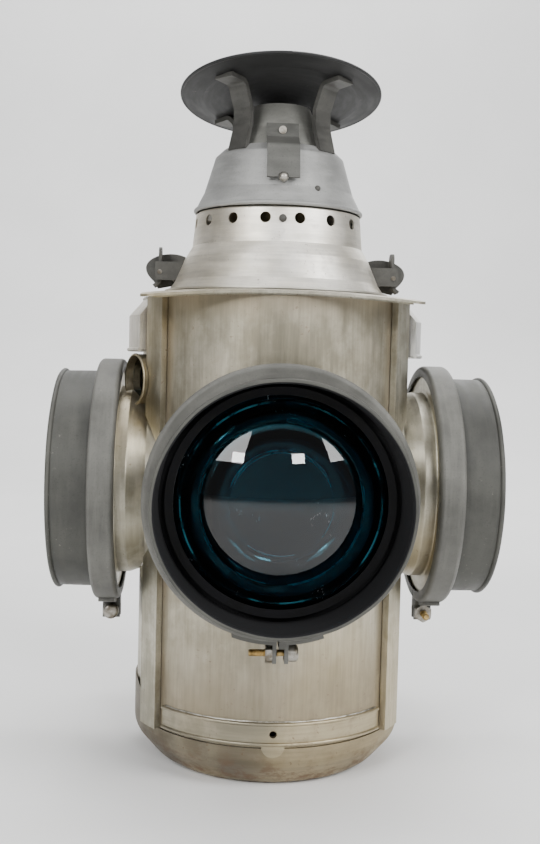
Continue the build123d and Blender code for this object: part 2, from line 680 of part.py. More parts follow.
def filler_cap():
    base = FOUNT_HIGH + 4 + FIT
    cap = spun((0, base), (FILLER_CAP_R, base), (FILLER_CAP_R, base + 5), (FILLER_CAP_R - 1, base + 6),
               (0, base + 6))
    plug_r = FILLER_R - 1.2 - TURN
    cap += upright(plug_r, FOUNT_HIGH - 2, base + 1)
    for index in range(20):
        angle = index * 18
        cap -= Rot(0, 0, angle) * Pos(FILLER_CAP_R + 0.3, 0, base + 3) * Cylinder(0.7, 12)
    return Pos(FILLER_X, FILLER_Y, 0) * cap


def burner_collar():
    neck = COLLAR_R - 0.4 - FIT
    return spun((COLLAR_BORE, FOUNT_HIGH - 6), (neck, FOUNT_HIGH - 6), (neck, FOUNT_HIGH),
                (COLLAR_R + 4, FOUNT_HIGH), (COLLAR_R + 4, FOUNT_HIGH + 3), (COLLAR_R, FOUNT_HIGH + 3),
                (COLLAR_R, COLLAR_TOP), (COLLAR_BORE, COLLAR_TOP))


def spindle_axis():
    return Pos(0, -(WICK / 2 + 0.2 + STAR_R), SPINDLE_Z) * Rot(0, 90, 0)


def spindle_hole():
    rod = Cylinder(SPINDLE_R + 0.1, 60, align=(Align.CENTER, Align.CENTER, Align.MIN))
    return spindle_axis() * rod


def burner_gallery():
    half = THIN_SHEET / 2
    cup = spun_sheet([(COLLAR_BORE, COLLAR_TOP + half), (BURNER_R + 2, COLLAR_TOP + half),
                      (BURNER_R + 5, COLLAR_TOP + 8)], wall=THIN_SHEET, bend=1.5)
    for index in range(24):
        angle = index * 15 + 7.5
        cup -= Rot(0, 0, angle) * Pos(BURNER_R - 4, 0, COLLAR_TOP) * Cylinder(0.9, 8)
    return cup - spindle_hole()


def burner_cone():
    half = THIN_SHEET / 2
    low = COLLAR_TOP + THIN_SHEET
    cone = spun_sheet([(BURNER_R - half, low), (BURNER_R - half, low + 9), (BURNER_R - 9, BURNER_TOP - 8),
                       (BURNER_R - 12, BURNER_TOP)], wall=THIN_SHEET, bend=3.0)
    return cone - spindle_hole()


def wick_tube():
    bore_x = WICK_WIDTH / 2 + FIT
    bore_y = WICK / 2 + FIT
    wall = 0.7
    tube = block(-bore_x - wall, bore_x + wall, -bore_y - wall, bore_y + wall, FOUNT_HIGH - 14, WICK_TOP - 3)
    tube += upright(COLLAR_BORE - 0.1, COLLAR_TOP - 4, COLLAR_TOP - 2.5)
    tube -= block(-bore_x, bore_x, -bore_y, bore_y, 60, 200)
    for x in (-3.5, 3.5):
        tube -= block(x - 1.2, x + 1.2, -bore_y - 2, -bore_y + 0.1, SPINDLE_Z - 4, SPINDLE_Z + 4)
    return tube


def wick():
    return block(-WICK_WIDTH / 2, WICK_WIDTH / 2, -WICK / 2, WICK / 2, FOUNT_LOW + 36, WICK_TOP)


def wick_spindle():
    """Spindle with two star wheels that bear on the wick."""
    low = Align.MIN
    rod = Pos(0, 0, -7) * Cylinder(SPINDLE_R, SPINDLE_END + 7, align=(Align.CENTER, Align.CENTER, low))
    for x in (-3.5, 3.5):
        rod += Pos(0, 0, x) * Cylinder(STAR_R, 1.4)
    return spindle_axis() * rod


def wick_knob():
    low = Align.MIN
    disc = Cylinder(KNOB_R, KNOB, align=(Align.CENTER, Align.CENTER, low))
    for index in range(24):
        disc -= Rot(0, 0, index * 15) * Pos(KNOB_R + 0.4, 0, 0) * Cylinder(0.9, 4 * KNOB)
    return spindle_axis() * Pos(0, 0, SPINDLE_END) * disc


def pieces():
    """Every node's name and solids."""
    yield "base_pan", base_pan()
    yield "body_shell", body_shell()
    yield "front_panel", front_panel()
    yield "panel_band", panel_band()
    yield "guide_left", guide(-1)
    yield "guide_right", guide(1)
    yield "roof_plate", roof_plate()
    yield "body_top_flange", body_top_flange()
    yield "vent_right", side_vent(90)
    yield "vent_left", side_vent(270)
    yield "sight_tube", sight_tube()
    yield "sight_glass", sight_glass()
    for name, turn in SIDES.items():
        yield "lens_tube_" + name, lens_tube(turn)
        yield "lens_" + name, facing(turn) * lens()
        yield "hood_" + name, facing(turn) * hood()
        yield "clamp_ring_" + name, facing(turn) * clamp_ring()
        yield "clamp_screw_" + name, facing(turn) * clamp_screw()
    yield "lens_gaskets", Compound(children=[facing(turn) * gasket() for turn in SIDES.values()])
    yield "lens_retainers", Compound(children=[facing(turn) * lens_retainer() for turn in SIDES.values()])
    yield "dome", dome()
    yield "skirt", skirt()
    yield "flue", flue()
    yield "draught_baffle", draught_baffle()
    yield "chimney_cone", chimney_cone()
    yield "cap_disc", cap_disc()
    yield "cap_legs", cap_legs()
    yield "latch_strap", latch_strap()
    yield "strap_rivet", strap_rivet()
    yield "latch_stud", latch_stud()
    yield "dome_rivets", dome_rivets()
    yield "catch_bracket_right", catch_bracket()
    yield "catch_bracket_left", mirror(catch_bracket(), Plane.YZ)
    yield "catch_lever_right", catch_lever()
    yield "catch_lever_left", mirror(catch_lever(), Plane.YZ)
    yield "catch_pins", Compound(children=[catch_pin(), mirror(catch_pin(), Plane.YZ)])
    yield "fount_cradle", fount_cradle()
    yield "fount", fount()
    yield "filler_cap", filler_cap()
    yield "burner_collar", burner_collar()
    yield "burner_gallery", burner_gallery()
    yield "burner_cone", burner_cone()
    yield "wick_tube", wick_tube()
    yield "wick", wick()
    yield "wick_spindle", wick_spindle()
    yield "wick_knob", wick_knob()


def main():
    os.makedirs("parts", exist_ok=True)
    for name, piece in pieces():
        export_step(piece, "parts/" + name + ".step")


main()
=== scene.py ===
"""Looks for the four-lens railway switch lamp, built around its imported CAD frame."""
import math
import bmesh
import bpy
from mathutils import Matrix, Vector, noise


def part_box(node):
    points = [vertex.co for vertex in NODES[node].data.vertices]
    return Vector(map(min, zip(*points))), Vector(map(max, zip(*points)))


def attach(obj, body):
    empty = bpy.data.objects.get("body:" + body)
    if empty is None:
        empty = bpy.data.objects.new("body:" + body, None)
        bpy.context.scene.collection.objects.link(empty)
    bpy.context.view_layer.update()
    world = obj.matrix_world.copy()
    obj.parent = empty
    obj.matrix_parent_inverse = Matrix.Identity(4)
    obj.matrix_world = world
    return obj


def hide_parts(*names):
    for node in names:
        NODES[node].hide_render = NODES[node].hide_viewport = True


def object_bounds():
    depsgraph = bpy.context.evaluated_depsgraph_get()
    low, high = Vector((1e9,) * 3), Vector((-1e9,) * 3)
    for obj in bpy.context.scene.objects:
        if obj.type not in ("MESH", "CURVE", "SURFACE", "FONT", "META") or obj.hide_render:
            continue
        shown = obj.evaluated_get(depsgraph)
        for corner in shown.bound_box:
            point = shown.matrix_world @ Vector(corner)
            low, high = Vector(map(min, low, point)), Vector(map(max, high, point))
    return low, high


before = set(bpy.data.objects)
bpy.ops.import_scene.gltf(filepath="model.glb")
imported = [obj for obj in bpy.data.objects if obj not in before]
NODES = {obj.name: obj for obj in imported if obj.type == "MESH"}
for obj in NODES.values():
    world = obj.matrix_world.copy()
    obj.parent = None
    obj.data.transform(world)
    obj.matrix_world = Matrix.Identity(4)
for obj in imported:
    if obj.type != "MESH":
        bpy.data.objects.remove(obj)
CAD_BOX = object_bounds()
SIDES = {"front": 0, "right": 90, "rear": 180, "left": 270}
MM = 0.001


# ---------------------------------------------------------------- node materials

class Look:
    """A node material under construction."""

    def __init__(self, name):
        self.material = bpy.data.materials.new(name)
        self.material.use_nodes = True
        self.tree = self.material.node_tree
        self.shader = self.tree.nodes["Principled BSDF"]

    def add(self, kind, inputs=None, **settings):
        made = self.tree.nodes.new(kind)
        for key, value in settings.items():
            setattr(made, key, value)
        for key, value in (inputs or {}).items():
            self.feed(made.inputs[key], value)
        return made

    def feed(self, socket, value):
        if isinstance(value, bpy.types.NodeSocket):
            self.tree.links.new(value, socket)
        else:
            socket.default_value = value

    def set(self, **values):
        for key, value in values.items():
            self.feed(self.shader.inputs[key.replace("_", " ")], value)

    def math(self, operation, a, b=0.0, clamp=False):
        return self.add("ShaderNodeMath", {0: a, 1: b}, operation=operation, use_clamp=clamp).outputs[0]

    def span(self, value, low, high, to_low=0.0, to_high=1.0):
        made = self.add("ShaderNodeMapRange", {"Value": value, "From Min": low, "From Max": high,
                                               "To Min": to_low, "To Max": to_high})
        made.interpolation_type = "SMOOTHSTEP"
        return made.outputs[0]

    def mix(self, factor, a, b, blend="MIX"):
        made = self.add("ShaderNodeMix", {}, data_type="RGBA", blend_type=blend)
        self.feed(made.inputs[0], factor)
        self.feed(made.inputs[6], colour(a))
        self.feed(made.inputs[7], colour(b))
        return made.outputs[2]

    def noise(self, vector, scale, detail=4.0, roughness=0.55, w=None):
        made = self.add("ShaderNodeTexNoise", {"Vector": vector, "Scale": scale, "Detail": detail,
                                               "Roughness": roughness})
        if w is not None:
            made.noise_dimensions = "4D"
            self.feed(made.inputs["W"], w)
        return made.outputs["Fac"]

    def place(self):
        return self.add("ShaderNodeTexCoord").outputs["Object"]

    def stretched(self, x, y, z):
        scaled = self.add("ShaderNodeVectorMath", {0: self.place(), 1: (x, y, z)}, operation="MULTIPLY")
        return scaled.outputs[0]

    def axes(self):
        split = self.add("ShaderNodeSeparateXYZ", {0: self.place()})
        return split.outputs[0], split.outputs[1], split.outputs[2]

    def spun(self, turn_axis, centre, around, along, across):
        """Coordinates that run round an axis: slow round it, and faster along and across it."""
        x, y, z = self.axes()
        u, v, w = {"Z": (x, y, z), "Y": (x, z, y), "X": (y, z, x)}[turn_axis]
        v = self.math("SUBTRACT", v, centre) if centre else v
        radius = self.math("SQRT", self.math("ADD", self.math("MULTIPLY", u, u), self.math("MULTIPLY", v, v)))
        safe = self.math("MAXIMUM", radius, 0.0005)
        joined = self.add("ShaderNodeCombineXYZ", {
            0: self.math("MULTIPLY", self.math("DIVIDE", u, safe), around),
            1: self.math("MULTIPLY", self.math("DIVIDE", v, safe), around),
            2: self.math("MULTIPLY", w, along)})
        return joined.outputs[0], self.math("MULTIPLY", radius, across), radius

    def inward(self, turn_axis, centre):
        """One where the surface looks towards the axis, zero where it looks away from it."""
        names = {"Z": (0, 1), "Y": (0, 2), "X": (1, 2)}[turn_axis]
        coords = self.add("ShaderNodeTexCoord")
        place = self.add("ShaderNodeSeparateXYZ", {0: coords.outputs["Object"]}).outputs
        normal = self.add("ShaderNodeSeparateXYZ", {0: coords.outputs["Normal"]}).outputs
        u, v = place[names[0]], self.math("SUBTRACT", place[names[1]], centre)
        radius = self.math("SQRT", self.math("ADD", self.math("MULTIPLY", u, u), self.math("MULTIPLY", v, v)))
        dot = self.math("ADD", self.math("MULTIPLY", u, normal[names[0]]),
                        self.math("MULTIPLY", v, normal[names[1]]))
        return self.span(self.math("DIVIDE", dot, radius), -0.25, -0.45)

    def bump(self, height, strength, distance, below=None):
        made = self.add("ShaderNodeBump", {"Height": height, "Strength": strength, "Distance": distance})
        if below is not None:
            self.feed(made.inputs["Normal"], below)
        return made.outputs[0]


def colour(value):
    if isinstance(value, tuple) and len(value) == 3:
        return value + (1.0,)
    return value


BARE_LIGHT = (0.62, 0.59, 0.50)
BARE_DARK = (0.37, 0.345, 0.27)
WARM = (0.50, 0.405, 0.235)
BROWN = (0.165, 0.125, 0.075)
RUST = (0.13, 0.065, 0.028)
SOOT = (0.006, 0.006, 0.007)


def bare_metal(name, axis="Z", centre=0.0, brushing="along", rust=0.2, tarnish=0.5, light=BARE_LIGHT,
               dark=BARE_DARK, soot=None, low_rust=None, darkened_bands=(), shine=0.36):
    """Wire-brushed tinned sheet: fine strokes, cloudy tarnish, darker bands where asked (painted shade in
    corners and under overhangs), rust specks, dents.
    """
    look = Look(name)
    if brushing == "along":
        streaks = look.noise(look.stretched(520, 520, 30), 1.0, 3.0, 0.6)
        strokes = look.noise(look.stretched(95, 95, 16), 1.0, 4.0, 0.6)
        across = look.noise(look.stretched(26, 26, 420), 1.0, 3.0, 0.6)
    else:
        vector, w, radius = look.spun(axis, centre, 2.2, 420, 420)
        streaks = look.noise(vector, 1.0, 3.0, 0.6, w)
        vector, w, radius = look.spun(axis, centre, 1.6, 90, 90)
        strokes = look.noise(vector, 1.0, 4.0, 0.6, w)
        across = look.noise(look.stretched(150, 150, 60), 1.0, 3.0, 0.6)
    cloud = look.noise(look.stretched(13, 13, 9), 1.0, 4.0, 0.6)
    blotch = look.noise(look.stretched(58, 58, 50), 1.0, 6.0, 0.66)
    specks = look.noise(look.stretched(330, 330, 330), 1.0, 3.0, 0.7)
    tone = look.math("ADD", look.math("MULTIPLY", cloud, 0.55), look.math("MULTIPLY", blotch, 0.33))
    tone = look.math("ADD", tone, look.math("MULTIPLY", strokes, 0.12))
    base = look.mix(look.span(tone, 0.40 + 0.06 * tarnish, 0.60), dark, light)
    warm = look.noise(look.stretched(8, 8, 6), 1.0, 3.0, 0.5)
    base = look.mix(look.span(warm, 0.47, 0.62, 0.0, 0.35 + 0.2 * tarnish), base, WARM)
    fine = look.span(streaks, 0.3, 0.72, 0.86, 1.07)
    fine_colour = look.add("ShaderNodeCombineColor", {0: fine, 1: fine, 2: fine}).outputs[0]
    base = look.mix(0.9, base, fine_colour, "MULTIPLY")
    brown = look.span(blotch, 0.56, 0.74, 0.0, 0.20 + 0.45 * tarnish)
    coords = look.axes()
    # Painted shade: each band darkens the colour towards brown across a span of height or width, mottled by
    # the blotch noise.
    for which, start, end, amount in darkened_bands:
        edge = look.span(look.math("ABSOLUTE", coords[which]), start, end)
        edge = look.math("MULTIPLY", edge, look.span(blotch, 0.30, 0.62, 0.35, amount))
        brown = look.math("MAXIMUM", brown, edge)
    # Brown tarnish blotches together with the painted shade of the bands.
    base = look.mix(brown, base, BROWN)
    rusty = look.math("MULTIPLY", look.span(specks, 0.62 - 0.06 * rust, 0.72), look.span(blotch, 0.42, 0.62))
    rusty = look.math("MULTIPLY", rusty, min(1.0, 0.4 + rust))
    if low_rust is not None:
        foot = look.span(coords[2], low_rust, low_rust * 0.15)
        eaten = look.span(look.noise(look.stretched(75, 75, 95), 1.0, 6.0, 0.7), 0.44, 0.66)
        rusty = look.math("MAXIMUM", rusty, look.math("MULTIPLY", look.math("MULTIPLY", foot, eaten), 0.8))
    base = look.mix(rusty, base, RUST)
    rough = look.span(strokes, 0.3, 0.7, shine, shine + 0.10)
    rough = look.math("ADD", rough, look.math("MULTIPLY", rusty, 0.35))
    rough = look.math("ADD", rough, look.math("MULTIPLY", brown, 0.16), clamp=True)
    metal = look.math("SUBTRACT", 0.94, look.math("MULTIPLY", rusty, 0.85), clamp=True)
    metal = look.math("SUBTRACT", metal, look.math("MULTIPLY", brown, 0.30), clamp=True)
    if soot:
        inside = soot(look)
        base = look.mix(inside, base, SOOT)
        rough = look.math("MAXIMUM", rough, look.math("MULTIPLY", inside, 0.88))
        metal = look.math("MULTIPLY", metal, look.math("SUBTRACT", 1.0, inside))
    dents = look.bump(look.noise(look.stretched(24, 24, 19), 1.0, 2.0, 0.5), 0.24, 0.0016)
    normal = look.bump(blotch, 0.12, 0.0004, dents)
    normal = look.bump(strokes, 0.10, 0.0004, normal)
    normal = look.bump(streaks, 0.16, 0.00016, normal)
    normal = look.bump(across, 0.12, 0.0002, normal)
    normal = look.bump(rusty, 0.30, 0.0002, normal)
    look.set(Base_Color=base, Roughness=rough, Metallic=metal, Normal=normal)
    return look.material


def soot_within(limit):
    """Soot on everything nearer the lamp's axis than this."""
    def mask(look):
        radius = look.spun("Z", 0.0, 1, 1, 1)[2]
        return look.span(radius, limit, limit - 0.0004)
    return mask


def soot_in_tube(axis):
    """Soot on the bore of a lens tube and on the face of its flange."""
    def mask(look):
        radius = look.spun(axis, LENS_Z, 1, 1, 1)[2]
        out = look.math("ABSOLUTE", look.axes()[{"X": 0, "Y": 1}[axis]])
        bore = look.span(out, FLARE_START, FLARE_END, TUBE_BORE, TUBE_BORE + TUBE_FLARE)
        inner = look.math("LESS_THAN", radius, bore)
        return look.math("MAXIMUM", inner, look.math("GREATER_THAN", out, FLANGE_OUT))
    return mask


PAINT = (0.064, 0.064, 0.056)
PAINT_DARK = (0.036, 0.036, 0.032)
RING_PAINT = (0.135, 0.133, 0.120)
RING_PAINT_DARK = (0.080, 0.079, 0.071)


def grey_paint(name, axis="Z", centre=0.0, black_inside=False, light=PAINT, dark=PAINT_DARK, chips=0.35,
               edges=0.0, sheen=0.0):
    """Old dull paint over sheet: brush marks, dust, chips down to bare metal, fine scratches."""
    look = Look(name)
    vector, w, radius = look.spun(axis, centre, 2.0, 230, 230)
    marks = look.noise(vector, 1.0, 4.0, 0.6, w)
    cloud = look.noise(look.stretched(26, 26, 26), 1.0, 5.0, 0.6)
    grain = look.noise(look.stretched(900, 900, 900), 1.0, 2.0, 0.6)
    base = look.mix(look.span(cloud, 0.30, 0.70), dark, light)
    base = look.mix(look.span(marks, 0.40, 0.70, 0.0, 0.35), base, tuple(1.35 * c for c in light))
    base = look.mix(look.span(grain, 0.55, 0.75, 0.0, 0.35), base, tuple(0.6 * c for c in dark))
    chipped = look.noise(look.stretched(260, 260, 260), 1.0, 5.0, 0.72)
    wear = look.math("MULTIPLY", look.span(chipped, 0.63, 0.69), look.span(cloud, 0.48, 0.64))
    wear = look.math("MULTIPLY", wear, chips)
    if edges:
        pointy = look.add("ShaderNodeNewGeometry").outputs["Pointiness"]
        edge = look.math("MULTIPLY", look.span(pointy, 0.515, 0.56), look.span(marks, 0.40, 0.60))
        wear = look.math("MAXIMUM", wear, look.math("MULTIPLY", edge, edges))
    base = look.mix(wear, base, (0.36, 0.345, 0.30))
    rough = look.span(marks, 0.3, 0.7, 0.46, 0.60)
    metal = look.math("MAXIMUM", look.math("MULTIPLY", wear, 0.8), sheen)
    if black_inside:
        inside = look.inward(axis, centre)
        base = look.mix(inside, base, SOOT)
        metal = look.math("MULTIPLY", metal, look.math("SUBTRACT", 1.0, inside))
        rough = look.math("MAXIMUM", rough, look.math("MULTIPLY", inside, 0.88))
    dents = look.bump(look.noise(look.stretched(34, 34, 34), 1.0, 2.0, 0.5), 0.25, 0.0014)
    normal = look.bump(marks, 0.16, 0.0003, dents)
    normal = look.bump(grain, 0.12, 0.00012, normal)
    normal = look.bump(wear, -0.4, 0.0002, normal)
    look.set(Base_Color=base, Roughness=rough, Metallic=metal, Normal=normal)
    look.shader.inputs["Specular IOR Level"].default_value = 0.3
    return look.material


def lens_glass(name):
    """Thick pressed glass, blue green at its front and tinted near black at its back as painted shade, with
    frosted steps that carry a painted teal glint, a few scratches and dust.
    """
    look = Look(name)
    swirl = look.noise(look.stretched(45, 45, 45), 1.0, 2.0, 0.5)
    scratch = look.noise(look.stretched(900, 900, 300), 1.0, 4.0, 0.75)
    patch = look.noise(look.stretched(34, 34, 34), 1.0, 3.0, 0.6)
    marks = look.math("MULTIPLY", look.span(scratch, 0.58, 0.64), look.span(patch, 0.60, 0.68))
    x, y, z = look.axes()
    out = look.math("MAXIMUM", look.math("ABSOLUTE", x), look.math("ABSOLUTE", y))
    aside = look.math("MINIMUM", look.math("ABSOLUTE", x), look.math("ABSOLUTE", y))
    up = look.math("SUBTRACT", z, LENS_Z)
    square = look.math("ADD", look.math("MULTIPLY", aside, aside), look.math("MULTIPLY", up, up))
    radius = look.math("SQRT", square)
    back = look.math("LESS_THAN", out, LENS_BACK + 11 * MM)
    # Painted glint: rings at the steps of the back face get a lighter teal colour, besides frosted roughness
    # and less clearness.
    steps = 0.0
    for step in LENS_STEPS:
        near = look.span(look.math("ABSOLUTE", look.math("SUBTRACT", radius, step)), 0.9 * MM, 0.3 * MM)
        steps = look.math("MAXIMUM", near, steps)
    steps = look.math("MULTIPLY", look.math("MULTIPLY", steps, back), look.span(swirl, 0.40, 0.62, 0.05, 0.8))
    front_tint = look.mix(look.span(patch, 0.3, 0.7), (0.040, 0.17, 0.225), (0.06, 0.22, 0.28))
    # Painted shade: the back of the same glass is tinted near black so that the lens reads dark.
    back_shaded_tint = look.mix(look.span(patch, 0.3, 0.7), (0.0006, 0.006, 0.010), (0.001, 0.010, 0.016))
    tint = look.mix(back, front_tint, back_shaded_tint)
    # Painted teal glint on the step rings.
    tint = look.mix(steps, tint, (0.06, 0.42, 0.55))
    tint = look.mix(look.math("MULTIPLY", marks, 0.6), tint, (0.6, 0.68, 0.70))
    rough = look.math("MAXIMUM", look.span(marks, 0.0, 1.0, 0.012, 0.35), look.math("MULTIPLY", steps, 0.5))
    normal = look.bump(swirl, 0.05, 0.0004)
    normal = look.bump(marks, 0.3, 0.0001, normal)
    clear = look.math("SUBTRACT", 1.0, look.math("MULTIPLY", marks, 0.25))
    clear = look.math("SUBTRACT", clear, look.math("MULTIPLY", steps, 0.5))
    look.set(Base_Color=tint, Roughness=rough, Normal=normal, Transmission_Weight=clear)
    look.shader.inputs["IOR"].default_value = 1.52
    look.shader.inputs["Specular IOR Level"].default_value = 0.34
    return look.material


def simple_metal(name, light, dark, rough_low, rough_high, metallic=1.0, specular=0.5):
    """Small turned or plated parts: cloudy tarnish and fine tool marks."""
    look = Look(name)
    cloud = look.noise(look.stretched(110, 110, 110), 1.0, 5.0, 0.65)
    fine = look.noise(look.stretched(900, 900, 900), 1.0, 3.0, 0.6)
    base = look.mix(look.span(cloud, 0.35, 0.62), dark, light)
    base = look.mix(look.span(fine, 0.58, 0.72, 0.0, 0.5), base, tuple(0.45 * c for c in dark))
    rough = look.span(cloud, 0.3, 0.7, rough_low, rough_high)
    normal = look.bump(fine, 0.2, 0.00015, look.bump(cloud, 0.15, 0.0004))
    look.set(Base_Color=base, Roughness=rough, Normal=normal)
    look.shader.inputs["Metallic"].default_value = metallic
    look.shader.inputs["Specular IOR Level"].default_value = specular
    return look.material


def woven(name, light, dark, scale):
    look = Look(name)
    across = look.add("ShaderNodeTexWave", {"Vector": look.place(), "Scale": scale, "Distortion": 0.6},
                      bands_direction="X").outputs["Fac"]
    along = look.add("ShaderNodeTexWave", {"Vector": look.place(), "Scale": scale, "Distortion": 0.6},
                     bands_direction="Z").outputs["Fac"]
    weave = look.math("MULTIPLY", across, along)
    fuzz = look.noise(look.stretched(500, 500, 500), 1.0, 4.0, 0.6)
    tone = look.math("ADD", look.math("MULTIPLY", weave, 0.6), look.math("MULTIPLY", fuzz, 0.4))
    base = look.mix(tone, dark, light)
    look.set(Base_Color=base, Normal=look.bump(weave, 0.6, 0.0003))
    look.shader.inputs["Roughness"].default_value = 0.95
    return look.material


def floor_paper(name):
    look = Look(name)
    cloud = look.noise(look.stretched(3, 3, 3), 1.0, 3.0, 0.5)
    fine = look.noise(look.stretched(420, 420, 420), 1.0, 2.0, 0.6)
    base = look.mix(look.span(cloud, 0.3, 0.7), (0.80, 0.80, 0.795), (0.84, 0.84, 0.835))
    look.set(Base_Color=base, Normal=look.bump(fine, 0.05, 0.0002))
    look.shader.inputs["Roughness"].default_value = 0.85
    return look.material


# ---------------------------------------------------------------- meshes

def bent_path(points, bend, steps=6):
    """A line of points with its inner corners rounded."""
    out = [Vector(points[0])]
    for before, corner, after in zip(points, points[1:], points[2:]):
        a, p, b = Vector(before), Vector(corner), Vector(after)
        u, v = (a - p).normalized(), (b - p).normalized()
        turn = math.pi - u.angle(v)
        reach = min(bend * math.tan(turn / 2), 0.48 * (a - p).length, 0.48 * (b - p).length)
        start, end = p + u * reach, p + v * reach
        for i in range(steps + 1):
            t = i / steps
            out.append(start * (1 - t) ** 2 + p * 2 * t * (1 - t) + end * t * t)
    out.append(Vector(points[-1]))
    return out


def split_long(loop, longest):
    """Adds points so that no step of a closed section is longer than this."""
    out = []
    for a, b in zip(loop, loop[1:] + loop[:1]):
        steps = max(1, math.ceil((b - a).length / longest))
        out += [a.lerp(b, i / steps) for i in range(steps)]
    return out


def make_object(name, bm, sharp=38):
    """Finishes a mesh: welded, outward faces, smooth but for its sharp edges."""
    bmesh.ops.remove_doubles(bm, verts=bm.verts, dist=1e-7)
    bmesh.ops.dissolve_degenerate(bm, edges=bm.edges, dist=1e-7)
    bmesh.ops.recalc_face_normals(bm, faces=bm.faces)
    for face in bm.faces:
        face.smooth = True
    for edge in bm.edges:
        if len(edge.link_faces) == 2:
            edge.smooth = edge.calc_face_angle(0.0) < math.radians(sharp)
    mesh = bpy.data.meshes.new(name)
    bm.to_mesh(mesh)
    bm.free()
    made = bpy.data.objects.new(name, mesh)
    bpy.context.scene.collection.objects.link(made)
    return made


def lathe(bm, loop, place, segments=192, shift=None):
    """Turns a closed section of (radius, height) points about local Z; shift moves each point a little."""
    rings = []
    for i in range(segments):
        angle = 2 * math.pi * i / segments
        ring = []
        for p in loop:
            r, h = p
            if shift and r > 1e-6:
                dr, dh = shift(angle, r, h)
                r, h = r + dr, h + dh
            ring.append(bm.verts.new(place @ Vector((r * math.sin(angle), -r * math.cos(angle), h))))
        rings.append(ring)
    for i in range(segments):
        one, two = rings[i], rings[(i + 1) % segments]
        for j in range(len(loop)):
            k = (j + 1) % len(loop)
            if (one[j].co - one[k].co).length > 1e-8:
                bm.faces.new((one[j], two[j], two[k], one[k]))


def tube_along(bm, centres, radii, closed, sides=8):
    """A round bead along a line of points."""
    rings = []
    across = None
    count = len(centres)
    for i, (centre, radius) in enumerate(zip(centres, radii)):
        ahead = centres[(i + 1) % count] if closed or i + 1 < count else centre
        behind = centres[i - 1] if closed or i > 0 else centre
        t = (ahead - behind).normalized()
        u = (across - t * across.dot(t) if rings else t.orthogonal()).normalized()
        across = u
        v = t.cross(u)
        ring = []
        for j in range(sides):
            a = 2 * math.pi * j / sides
            ring.append(bm.verts.new(centre + (u * math.cos(a) + v * math.sin(a)) * radius))
        rings.append(ring)
    last = count if closed else count - 1
    for i in range(last):
        one, two = rings[i], rings[(i + 1) % count]
        if closed and i == count - 1:
            best = min(range(sides), key=lambda s: (two[s].co - one[0].co).length)
            two = two[best:] + two[:best]
        for j in range(sides):
            k = (j + 1) % sides
            bm.faces.new((one[j], one[k], two[k], two[j]))
    if not closed:
        bm.faces.new(rings[0][::-1])
        bm.faces.new(rings[-1])


def facing(turn):
    """Local +Z looks out of the side at this turn from the front, at the lens height."""
    return (Matrix.Translation((0, 0, LENS_Z)) @ Matrix.Rotation(math.radians(turn), 4, "Z")
            @ Matrix.Rotation(math.radians(90), 4, "X"))


def ripple(seed, amount, lobes=3.0, rate=18.0):
    """Small hand-worn unevenness, the same every run."""
    def shift(angle, radius, height):
        p = Vector((lobes * math.sin(angle), lobes * math.cos(angle), height * rate + seed))
        return amount * noise.noise(p), 0.0
    return shift


def worn_oval(seed, amount, start, end, squash):
    """The same unevenness, on a drum pressed slightly oval towards its mouth."""
    worn = ripple(seed, amount)

    def shift(angle, radius, height):
        grown = min(1.0, max(0.0, (height - start) / (end - start)))
        return worn(angle, radius, height)[0] - squash * grown * radius * math.cos(2 * angle), 0.0
    return shift


def piece(bm, name, body, material, nodes=(), sharp=38):
    made = make_object(name, bm, sharp)
    made.data.materials.append(material)
    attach(made, body)
    if nodes:
        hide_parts(*nodes)
    return made


# ---------------------------------------------------------------- places read from the frame

hood_low, hood_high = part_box("hood_front")
LENS_Z = (hood_low[2] + hood_high[2]) / 2
HOOD_FRONT = -hood_low[1]
HOOD_BACK = -hood_high[1]
HOOD_FLANGE_R = (hood_high[0] - hood_low[0]) / 2
lens_low, lens_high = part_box("lens_front")
LENS_R = (lens_high[0] - lens_low[0]) / 2
LENS_BACK = -lens_high[1]
LENS_APEX = -lens_low[1]
body_low, body_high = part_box("body_shell")
BODY_R = (body_high[0] - body_low[0]) / 2
PAN_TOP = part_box("base_pan")[1][2]
PANEL_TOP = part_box("front_panel")[1][2]
SHEET = 1.2 * MM
FLANGE_OUT = -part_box("lens_tube_front")[0][1] - SHEET / 2
TUBE_BORE = 60.4 * MM
TUBE_FLARE = 4.1 * MM     # how much the bore widens from FLARE_START to FLARE_END
FLARE_START = FLANGE_OUT - 21 * MM
FLARE_END = FLANGE_OUT - 9 * MM
HOOD_DRUM_R = 74.6 * MM   # to the middle of the hood's wall
HOOD_BEAD = 1.6 * MM
LENS_EDGE = 5.0 * MM
LENS_CAP_R = 65.0 * MM
LENS_STEPS = (30 * MM, 48 * MM, 61 * MM)
FLOOR_Z = CAD_BOX[0][2]

# ---------------------------------------------------------------- materials

# The darker band below the top of the body is painted shade under the overhanging roof plate.
tin_body = bare_metal("tinned_body", rust=0.15, soot=soot_within(BODY_R - 1.0 * MM),
                      darkened_bands=[(2, PANEL_TOP - 26 * MM, PANEL_TOP, 0.75)])
